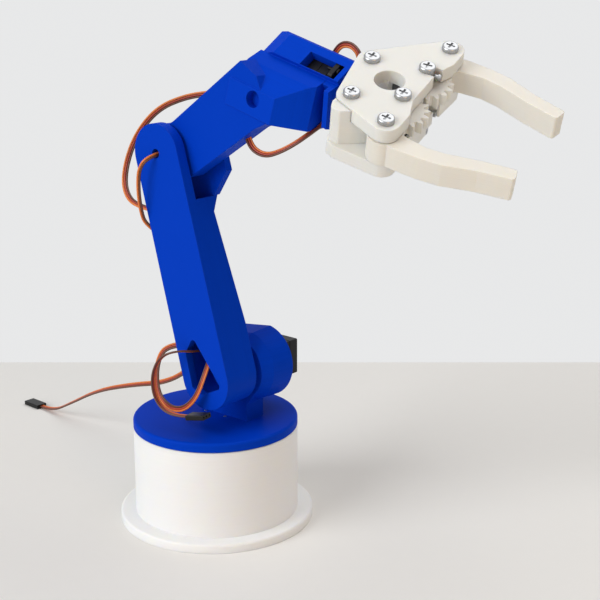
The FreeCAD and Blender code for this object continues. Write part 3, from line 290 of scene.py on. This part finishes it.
def make_edge_group():
    """Softened edges: a rounded normal and a mask that is strongest on the edge; the mask paints edges
    lighter, partly as wear and partly as painted highlight.
    """
    tree, start, end = new_group(
        "Soft Edge", (("Radius", "NodeSocketFloat", 0.4 * MM), ("Wear", "NodeSocketFloat", 1.0)),
        (("Normal", "NodeSocketVector"), ("Mask", "NodeSocketFloat")))
    bevel = tree.nodes.new("ShaderNodeBevel")
    bevel.samples = EDGE_SAMPLES
    tree.links.new(start.outputs["Radius"], bevel.inputs["Radius"])
    shape = tree.nodes.new("ShaderNodeNewGeometry")
    dot = tree.nodes.new("ShaderNodeVectorMath")
    dot.operation = "DOT_PRODUCT"
    tree.links.new(bevel.outputs["Normal"], dot.inputs[0])
    tree.links.new(shape.outputs["Normal"], dot.inputs[1])
    gap = math_node(tree, "SUBTRACT", 1.0, dot.outputs["Value"])
    # Strength of the lighter edge colour: partly wear, partly painted highlight
    mask = math_node(tree, "MULTIPLY", gap, start.outputs["Wear"])
    limit = math_node(tree, "MINIMUM", mask, 1.0)
    tree.links.new(bevel.outputs["Normal"], end.inputs["Normal"])
    tree.links.new(limit, end.inputs["Mask"])


def make_groups():
    """The node groups that the materials share."""
    make_layer_group()
    make_grain_group()
    make_edge_group()


def blank_material(name):
    """A new material, its node tree and its Principled shader."""
    material = bpy.data.materials.new(name)
    material.use_nodes = True
    shader = material.node_tree.nodes["Principled BSDF"]
    return material, material.node_tree, shader


def shade(colour, factor):
    """A colour made darker or lighter, with its alpha."""
    return tuple(min(1.0, c * factor) for c in colour) + (1.0,)


def colour_mix(tree, factor, low, high):
    """A colour that runs from low to high with a factor socket."""
    node = tree.nodes.new("ShaderNodeMix")
    node.data_type = "RGBA"
    tree.links.new(factor, node.inputs["Factor"])
    for label, value in (("A", low), ("B", high)):
        socket = [s for s in node.inputs if s.name == label and s.type == "RGBA"][0]
        if isinstance(value, tuple):
            socket.default_value = value
        else:
            tree.links.new(value, socket)
    return [s for s in node.outputs if s.type == "RGBA"][0]


def value_range(tree, socket, low, high):
    """A value socket mapped from 0..1 to low..high."""
    node = tree.nodes.new("ShaderNodeMapRange")
    tree.links.new(socket, node.inputs["Value"])
    node.inputs["To Min"].default_value = low
    node.inputs["To Max"].default_value = high
    return node.outputs["Result"]


def bump(tree, height, strength, distance, normal):
    """A normal that a height socket tilts."""
    node = tree.nodes.new("ShaderNodeBump")
    node.inputs["Strength"].default_value = strength
    node.inputs["Distance"].default_value = distance
    tree.links.new(height, node.inputs["Height"])
    tree.links.new(normal, node.inputs["Normal"])
    return node.outputs["Normal"]


def printed_plastic(name, colour, direction, ridge=0.25, gloss=0.42, bands=0.06, shine=0.35, depth=0.0):
    """Printed plastic with layer ridges, bands of tone, soft edges painted lighter (partly wear, partly
    painted highlight) and a depth that light reaches.
    """
    material, tree, shader = blank_material(name)
    layers = place_group(material, "Print Layers", Direction=direction, Layer=sizes().layer)
    grain = place_grain(material, PRINT_GRAIN)
    edge = place_group(material, "Soft Edge", Radius=sizes().edge, Wear=2.2)
    tone = math_node(tree, "ADD", layers.outputs["Tone"], grain.outputs["Value"])
    tone = math_node(tree, "MULTIPLY", tone, 0.5)
    body = colour_mix(tree, tone, shade(colour, 1.0 - bands), shade(colour, 1.0 + bands))
    # Edges painted lighter: partly wear, partly painted highlight
    edge_wear_and_highlight = colour_mix(tree, edge.outputs["Mask"], body, shade(tuple(c * 1.1 + 0.015 for c in colour), 1.0))
    tree.links.new(edge_wear_and_highlight, shader.inputs["Base Color"])
    tree.links.new(value_range(tree, grain.outputs["Value"], gloss - 0.06, gloss + 0.08),
                   shader.inputs["Roughness"])
    height = math_node(tree, "ADD", layers.outputs["Height"],
                       math_node(tree, "MULTIPLY", grain.outputs["Height"], 0.6))
    tree.links.new(bump(tree, height, ridge, PRINT_RELIEF, edge.outputs["Normal"]), shader.inputs["Normal"])
    shader.inputs["Specular IOR Level"].default_value = shine
    if depth > 0:
        shader.inputs["Subsurface Weight"].default_value = GLOW_SHARE
        shader.inputs["Subsurface Radius"].default_value = GLOW_REACH
        shader.inputs["Subsurface Scale"].default_value = depth
    return material


def moulded_plastic(name, colour, gloss):
    """Moulded plastic with a fine spark texture."""
    material, tree, shader = blank_material(name)
    grain = place_grain(material, CASE_GRAIN)
    edge = place_group(material, "Soft Edge", Radius=CASE_EDGE, Wear=1.6)
    body = colour_mix(tree, grain.outputs["Value"], shade(colour, 0.8), shade(colour, 1.2))
    # Edges painted lighter: partly wear, partly painted highlight
    edge_wear_and_highlight = colour_mix(tree, edge.outputs["Mask"], body, shade(tuple(c + 0.03 for c in colour), 1.0))
    tree.links.new(edge_wear_and_highlight, shader.inputs["Base Color"])
    tree.links.new(value_range(tree, grain.outputs["Value"], gloss - 0.08, gloss + 0.1),
                   shader.inputs["Roughness"])
    tree.links.new(bump(tree, grain.outputs["Height"], 0.2, CASE_RELIEF, edge.outputs["Normal"]),
                   shader.inputs["Normal"])
    shader.inputs["Specular IOR Level"].default_value = 0.2
    return material


def plated_metal(name, colour, gloss):
    """Plated or turned metal with faint drawing marks."""
    material, tree, shader = blank_material(name)
    shader.inputs["Metallic"].default_value = 1.0
    grain = place_grain(material, METAL_GRAIN)
    edge = place_group(material, "Soft Edge", Radius=METAL_EDGE, Wear=1.5)
    body = colour_mix(tree, grain.outputs["Value"], shade(colour, 0.82), shade(colour, 1.12))
    # Edges painted lighter: partly wear, partly painted highlight
    edge_wear_and_highlight = colour_mix(tree, edge.outputs["Mask"], body, shade(colour, 1.3))
    tree.links.new(edge_wear_and_highlight, shader.inputs["Base Color"])
    tree.links.new(value_range(tree, grain.outputs["Value"], gloss - 0.08, gloss + 0.12),
                   shader.inputs["Roughness"])
    tree.links.new(bump(tree, grain.outputs["Height"], 0.15, METAL_RELIEF, edge.outputs["Normal"]),
                   shader.inputs["Normal"])
    return material


def wire_insulation(name, colour):
    """Soft wire insulation with small rub marks."""
    material, tree, shader = blank_material(name)
    grain = place_grain(material, WIRE_GRAIN)
    body = colour_mix(tree, grain.outputs["Value"], shade(colour, 0.75), shade(colour, 1.25))
    tree.links.new(body, shader.inputs["Base Color"])
    tree.links.new(value_range(tree, grain.outputs["Value"], 0.3, 0.48), shader.inputs["Roughness"])
    return material


def dress(material, *nodes):
    """Gives CAD nodes a material in place of their own."""
    for node in nodes:
        mesh = frame["nodes"][node].data
        mesh.materials.clear()
        mesh.materials.append(material)


def dress_like(material, ending):
    """Gives a material to every CAD node whose name has an ending."""
    dress(material, *[node for node in frame["nodes"] if node.endswith(ending)])


# Leads: name, body, rest frame, far end, flat side, twist in degrees, wires from one
# side to the other, route in millimetres
LEADS = (
    ("elbow_lead", "upper_arm", "elbow", "object", (0, 0, 1), 0, ("orange", "red", "brown"),
     ((17.3, 14.0, 0.0), (28.0, 14.0, 0.0), (35.0, 13.0, 7.0), (35.5, 11.5, 16.0), (28.0, 10.0, 23.0),
      (15.0, 8.0, 25.5), (-1.0, 5.5, 26.8), (-20.5, 3.0, 24.5), (-37.0, -1.0, 13.5), (-45.5, -6.0, -2.0),
      (-44.5, -11.0, -15.0), (-33.5, -15.0, -24.5), (-14.0, -16.5, -29.5))),
    ("elbow_hole_lead", "upper_arm", "elbow", "object", (0, 0, 1), 0, ("brown", "orange"),
     ((0.0, -17.0, 0.0), (-0.4, -27.0, -0.4), (-6.5, -31.0, -4.5), (-11.5, -30.5, -15.0),
      (-15.5, -28.5, -27.0), (-19.0, -24.0, -35.0), (-14.5, -18.5, -42.0))),
    ("foot_lead", "upper_arm", "shoulder", "object", (1, 0, 0), 0, ("brown", "red", "orange"),
     ((1.0, -14.0, 15.0), (4.5, -26.0, 5.5), (-5.0, -30.0, -10.0), (-21.0, -30.0, -15.0),
      (-34.5, -28.5, -6.0), (-34.0, -25.0, 11.0), (-28.0, -19.5, 20.5), (-14.5, -15.0, 18.0))),
    ("foot_plug_lead", "upper_arm", "shoulder", "connector", (1, 0, 0), 0, ("orange", "red", "brown"),
     ((-6.0, -6.5, 14.0), (-6.0, -18.0, 14.0), (-9.0, -30.5, 18.0), (-18.5, -35.0, 16.5),
      (-27.5, -35.5, 6.0), (-29.0, -35.0, -7.0), (-20.5, -34.0, -16.0), (-9.0, -32.0, -17.0))),
    ("wrist_lead", "forearm", "level", "object", (1, 1, 0), 0, ("brown", "red", "orange"),
     ((-27.0, -23.5, -33.0), (-24.0, -23.0, -41.0), (-13.0, -22.5, -43.0), (-2.5, -21.5, -35.5),
      (5.0, -15.5, -25.5), (7.2, -1.0, -15.5))),
    ("wrist_top_lead", "forearm", "wrist", "object", (1, 0, 0), 0, ("brown", "red", "orange"),
     ((-8.0, 8.0, -1.0), (-7.0, 14.5, 6.0), (1.5, 17.0, 9.0), (9.5, 14.0, 5.0), (8.5, 8.0, -3.0))),
    ("shoulder_lead", "waist", "table", "connector", (0, 0, 1), 90, ("brown", "red", "orange"),
     ((-14.55, 33.0, 86.5), (-32.0, 33.0, 86.5), (-50.0, 33.8, 66.0), (-74.0, 35.5, 50.0),
      (-108.0, 37.0, 40.5), (-142.0, 38.5, 28.5), (-172.0, 40.2, 12.0), (-192.0, 41.5, 1.6),
      (-205.0, 42.0, 1.6))),
)
WIRE_SIDES = 10
WIRE_PITCH = 0.96       # from wire to wire, as a share of a wire's diameter
ROUTE_STEPS = 10        # points of a route's curve for each of its spans


def smooth_route(name, points):
    """Points along a smooth curve that a route controls."""
    curve = bpy.data.curves.new(name + "_route", "CURVE")
    curve.dimensions = "3D"
    curve.resolution_u = ROUTE_STEPS
    spline = curve.splines.new("NURBS")
    spline.points.add(len(points) - 1)
    for knot, place in zip(spline.points, points):
        knot.co = (*place, 1.0)
    spline.order_u = 3
    spline.use_endpoint_u = True
    holder = bpy.data.objects.new(name + "_route", curve)
    bpy.context.scene.collection.objects.link(holder)
    mesh = bpy.data.meshes.new_from_object(holder)
    path = [vertex.co.copy() for vertex in mesh.vertices]
    bpy.data.objects.remove(holder)
    bpy.data.curves.remove(curve)
    bpy.data.meshes.remove(mesh)
    return path


def path_frames(path, flat_side, twist):
    """Width and thickness directions at each point, with an even twist along the path."""
    ways = []
    for index in range(len(path)):
        before = path[max(index - 1, 0)]
        after = path[min(index + 1, len(path) - 1)]
        ways.append((after - before).normalized())
    wide = Vector(flat_side)
    frames = []
    for index, way in enumerate(ways):
        wide = (wide - way * wide.dot(way)).normalized()
        angle = math.radians(twist) * index / (len(ways) - 1)
        laid = Matrix.Rotation(angle, 3, way) @ wide
        frames.append((laid, way.cross(laid)))
    return frames


def ribbon_mesh(name, path, frames, count, diameter):
    """Parallel round wires that lie side by side along a path, one material index for each."""
    vertices = []
    faces = []
    marks = []
    radius = diameter / 2
    for wire in range(count):
        shift = (wire - (count - 1) / 2) * diameter * WIRE_PITCH
        first = len(vertices)
        for place, (wide, thick) in zip(path, frames):
            middle = place + wide * shift
            for side in range(WIRE_SIDES):
                angle = 2 * math.pi * side / WIRE_SIDES
                across = wide * (radius * math.cos(angle))
                through = thick * (radius * math.sin(angle))
                vertices.append(middle + across + through)
        rings = len(path)
        for ring in range(rings - 1):
            for side in range(WIRE_SIDES):
                a = first + ring * WIRE_SIDES + side
                b = first + ring * WIRE_SIDES + (side + 1) % WIRE_SIDES
                faces.append((a, b, b + WIRE_SIDES, a + WIRE_SIDES))
                marks.append(wire)
        last = first + (rings - 1) * WIRE_SIDES
        faces.append(tuple(first + side for side in reversed(range(WIRE_SIDES))))
        faces.append(tuple(last + side for side in range(WIRE_SIDES)))
        marks += [wire, wire]
    mesh = bpy.data.meshes.new(name)
    mesh.from_pydata(vertices, [], faces)
    for polygon, mark in zip(mesh.polygons, marks):
        polygon.material_index = mark
        polygon.use_smooth = len(polygon.vertices) == 4
    return mesh


def lay_lead(lead, wires):
    """One flat lead along its route, in place of its CAD tube."""
    name, body, rest, far_end, flat_side, twist, order, route = lead
    rest_frame = REST_FRAMES[rest]
    points = [rest_frame @ (Vector(point) * MM) for point in route]
    path = smooth_route(name, points)
    side = rest_frame.to_3x3() @ Vector(flat_side)
    frames = path_frames(path, side, twist)
    mesh = ribbon_mesh(name + "_ribbon", path, frames, len(order), sizes().wire)
    for colour in order:
        mesh.materials.append(wires[colour])
    ribbon = bpy.data.objects.new(name + "_ribbon", mesh)
    bpy.context.scene.collection.objects.link(ribbon)
    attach(ribbon, body)
    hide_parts(name)


class SERVOARM_OT_base(bpy.types.Operator):
    """Finishes the round printed base"""
    bl_idname = "servo_arm.finish_base"
    bl_label = "Finish Base"

    def execute(self, context):
        white = printed_plastic("base_print", colours().base_white, (0, 0, 1), ridge=0.05, gloss=0.5,
                                bands=0.01, depth=sizes().glow)
        dress(white, "base_housing", "base_cover")
        return {"FINISHED"}


class SERVOARM_OT_links(bpy.types.Operator):
    """Finishes the blue printed disc, upright, arm, forearm and wrist link"""
    bl_idname = "servo_arm.finish_links"
    bl_label = "Finish Links"

    def execute(self, context):
        blue = colours().arm_blue
        prints = (("waist_bracket", (0, 0, 1)), ("upper_arm", (0, 1, 0)), ("forearm", (0, 1, 0)),
                  ("wrist_link", (1, 0, 0)))
        for node, direction in prints:
            dress(printed_plastic(node + "_print", blue, direction, gloss=0.5, shine=0.03), node)
        return {"FINISHED"}


class SERVOARM_OT_gripper(bpy.types.Operator):
    """Finishes the ivory gripper plates, gears and fingers"""
    bl_idname = "servo_arm.finish_gripper"
    bl_label = "Finish Gripper"

    def execute(self, context):
        lift = Vector(JOINTS["grip_drive"]["axis"])
        glow = sizes().glow
        plate = printed_plastic("plate_print", colours().gripper_ivory, lift, ridge=0.12, bands=0.02,
                                depth=glow)
        finger = printed_plastic("finger_print", colours().finger_ivory, lift, ridge=0.12, bands=0.02,
                                 depth=glow)
        dress(plate, "gripper_top_plate", "gripper_lower_plate", "idle_gear", "drive_gear")
        dress(finger, "near_finger", "far_finger")
        return {"FINISHED"}


class SERVOARM_OT_servos(bpy.types.Operator):
    """Finishes the servo cases, horns, shafts and plugs"""
    bl_idname = "servo_arm.finish_servos"
    bl_label = "Finish Servos"

    def execute(self, context):
        dress_like(moulded_plastic("servo_case", colours().servo_black, 0.42), "_servo_case")
        dress_like(moulded_plastic("plug_shell", colours().plug_black, 0.35), "_plug")
        dress_like(moulded_plastic("horn_nylon", colours().horn_white, 0.4), "_servo_horn")
        dress_like(plated_metal("shaft_brass", colours().shaft_brass, 0.3), "_servo_shaft")
        return {"FINISHED"}


class SERVOARM_OT_hardware(bpy.types.Operator):
    """Finishes the screws, bolts, collars and nut"""
    bl_idname = "servo_arm.finish_hardware"
    bl_label = "Finish Hardware"

    def execute(self, context):
        steel = plated_metal("screw_plating", colours().screw_steel, 0.26)
        for ending in ("_screws", "_screw", "_bolts", "_bolt", "_collars", "_nut"):
            dress_like(steel, ending)
        dress(plated_metal("screw_black", colours().screw_black, 0.45), "roll_servo_screws")
        return {"FINISHED"}


class SERVOARM_OT_leads(bpy.types.Operator):
    """Lays the flat servo leads of two or three wires"""
    bl_idname = "servo_arm.lay_leads"
    bl_label = "Lay Leads"

    def execute(self, context):
        wires = {
            "brown": wire_insulation("wire_brown", colours().lead_brown),
            "red": wire_insulation("wire_red", colours().lead_red),
            "orange": wire_insulation("wire_orange", colours().lead_orange),
        }
        for lead in LEADS:
            lay_lead(lead, wires)
        return {"FINISHED"}


def lamp(name, power, size, place, target, colour):
    """A soft round lamp that faces a target."""
    light = bpy.data.lights.new(name, "AREA")
    light.energy = power
    light.color = colour
    light.shape = "DISK"
    light.size = size
    holder = bpy.data.objects.new(name, light)
    holder.location = place
    holder.rotation_euler = (Vector(target) - Vector(place)).to_track_quat("-Z", "Y").to_euler()
    bpy.context.scene.collection.objects.link(holder)


def table_material():
    """Pale matt table top."""
    material, tree, shader = blank_material("table_top")
    grain = place_grain(material, TABLE_GRAIN)
    body = colour_mix(tree, grain.outputs["Value"], TABLE_DARK, TABLE_LIGHT)
    tree.links.new(body, shader.inputs["Base Color"])
    tree.links.new(value_range(tree, grain.outputs["Value"], 0.8, 0.92), shader.inputs["Roughness"])
    shader.inputs["Specular IOR Level"].default_value = 0.1
    return material


class SERVOARM_OT_stage(bpy.types.Operator):
    """Sets the table, lamps, room light and camera"""
    bl_idname = "servo_arm.set_stage"
    bl_label = "Set Stage"

    def execute(self, context):
        scene = context.scene
        scene.view_settings.view_transform = "Standard"
        self.set_camera(scene)
        self.set_table(scene)
        self.set_lamps()
        self.set_room(scene)
        return {"FINISHED"}

    def set_camera(self, scene):
        """A camera where the photograph was taken."""
        forward = CAMERA_FORWARD.normalized()
        right = CAMERA_RIGHT.normalized()
        up = right.cross(forward)
        matrix = Matrix((right, up, -forward)).transposed().to_4x4()
        matrix.translation = CAMERA_PLACE
        data = bpy.data.cameras.new("photo_camera")
        data.sensor_width = SENSOR_WIDTH
        data.lens = studio().lens
        data.clip_start = NEAR_CLIP
        holder = bpy.data.objects.new("photo_camera", data)
        holder.matrix_world = matrix
        scene.collection.objects.link(holder)
        scene.camera = holder

    def set_table(self, scene):
        """A flat table whose back edge is square to the camera."""
        away = Vector((CAMERA_FORWARD.x, CAMERA_FORWARD.y, 0)).normalized()
        side = Vector((away.y, -away.x, 0))
        back = away * studio().table_reach
        front = back - away * TABLE_DEPTH
        half = side * TABLE_HALF_WIDTH
        corners = [back - half, back + half, front + half, front - half]
        mesh = bpy.data.meshes.new("table_top")
        mesh.from_pydata(corners, [], [(0, 3, 2, 1)])
        mesh.materials.append(table_material())
        table = bpy.data.objects.new("table_top", mesh)
        scene.collection.objects.link(table)

    def set_lamps(self):
        """A large window light in front, a warm bounce from the right and a lamp overhead."""
        lamp("key_lamp", studio().key, KEY_SIZE, KEY_PLACE, ARM_MIDDLE, KEY_COLOUR)
        lamp("fill_lamp", studio().fill, FILL_SIZE, FILL_PLACE, BASE_MIDDLE, FILL_COLOUR)
        lamp("top_lamp", studio().top, TOP_SIZE, TOP_PLACE, ARM_MIDDLE, TOP_COLOUR)

    def set_room(self, scene):
        """Even room light, with a pale wall where the camera and reflections look past the table."""
        world = bpy.data.worlds.new("room")
        scene.world = world
        world.use_nodes = True
        tree = world.node_tree
        room = tree.nodes["Background"]
        room.inputs["Color"].default_value = ROOM_COLOUR
        room.inputs["Strength"].default_value = studio().sky
        wall = tree.nodes.new("ShaderNodeBackground")
        wall.inputs["Color"].default_value = WALL_COLOUR
        wall.inputs["Strength"].default_value = 1.0
        rays = tree.nodes.new("ShaderNodeLightPath")
        seen = math_node(tree, "MAXIMUM", rays.outputs["Is Camera Ray"], rays.outputs["Is Glossy Ray"])
        seen = math_node(tree, "MAXIMUM", seen, rays.outputs["Is Transmission Ray"])
        mix = tree.nodes.new("ShaderNodeMixShader")
        tree.links.new(seen, mix.inputs["Fac"])
        tree.links.new(room.outputs[0], mix.inputs[1])
        tree.links.new(wall.outputs[0], mix.inputs[2])
        tree.links.new(mix.outputs[0], tree.nodes["World Output"].inputs["Surface"])


OPERATORS = (SERVOARM_OT_base, SERVOARM_OT_links, SERVOARM_OT_gripper, SERVOARM_OT_servos,
             SERVOARM_OT_hardware, SERVOARM_OT_leads, SERVOARM_OT_stage)


class SERVOARM_PT_panel(bpy.types.Panel):
    """Lists the arm's finishing steps"""
    bl_idname = "SERVOARM_PT_panel"
    bl_label = "Servo Arm"
    bl_space_type = "VIEW_3D"
    bl_region_type = "UI"
    bl_category = "Servo Arm"

    def draw(self, context):
        for operator in OPERATORS:
            self.layout.operator(operator.bl_idname)


CLASSES = (ArmColours, ArmSizes, StudioSettings) + OPERATORS + (SERVOARM_PT_panel,)


def register():
    for cls in CLASSES:
        bpy.utils.register_class(cls)
    bpy.types.Scene.servo_arm_colours = bpy.props.PointerProperty(type=ArmColours)
    bpy.types.Scene.servo_arm_sizes = bpy.props.PointerProperty(type=ArmSizes)
    bpy.types.Scene.servo_arm_studio = bpy.props.PointerProperty(type=StudioSettings)


def unregister():
    del bpy.types.Scene.servo_arm_studio
    del bpy.types.Scene.servo_arm_sizes
    del bpy.types.Scene.servo_arm_colours
    for cls in reversed(CLASSES):
        bpy.utils.unregister_class(cls)


def main():
    """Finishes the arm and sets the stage."""
    register()
    make_groups()
    bpy.ops.servo_arm.finish_base()
    bpy.ops.servo_arm.finish_links()
    bpy.ops.servo_arm.finish_gripper()
    bpy.ops.servo_arm.finish_servos()
    bpy.ops.servo_arm.finish_hardware()
    bpy.ops.servo_arm.lay_leads()
    bpy.ops.servo_arm.set_stage()


if __name__ == "__main__":
    main()
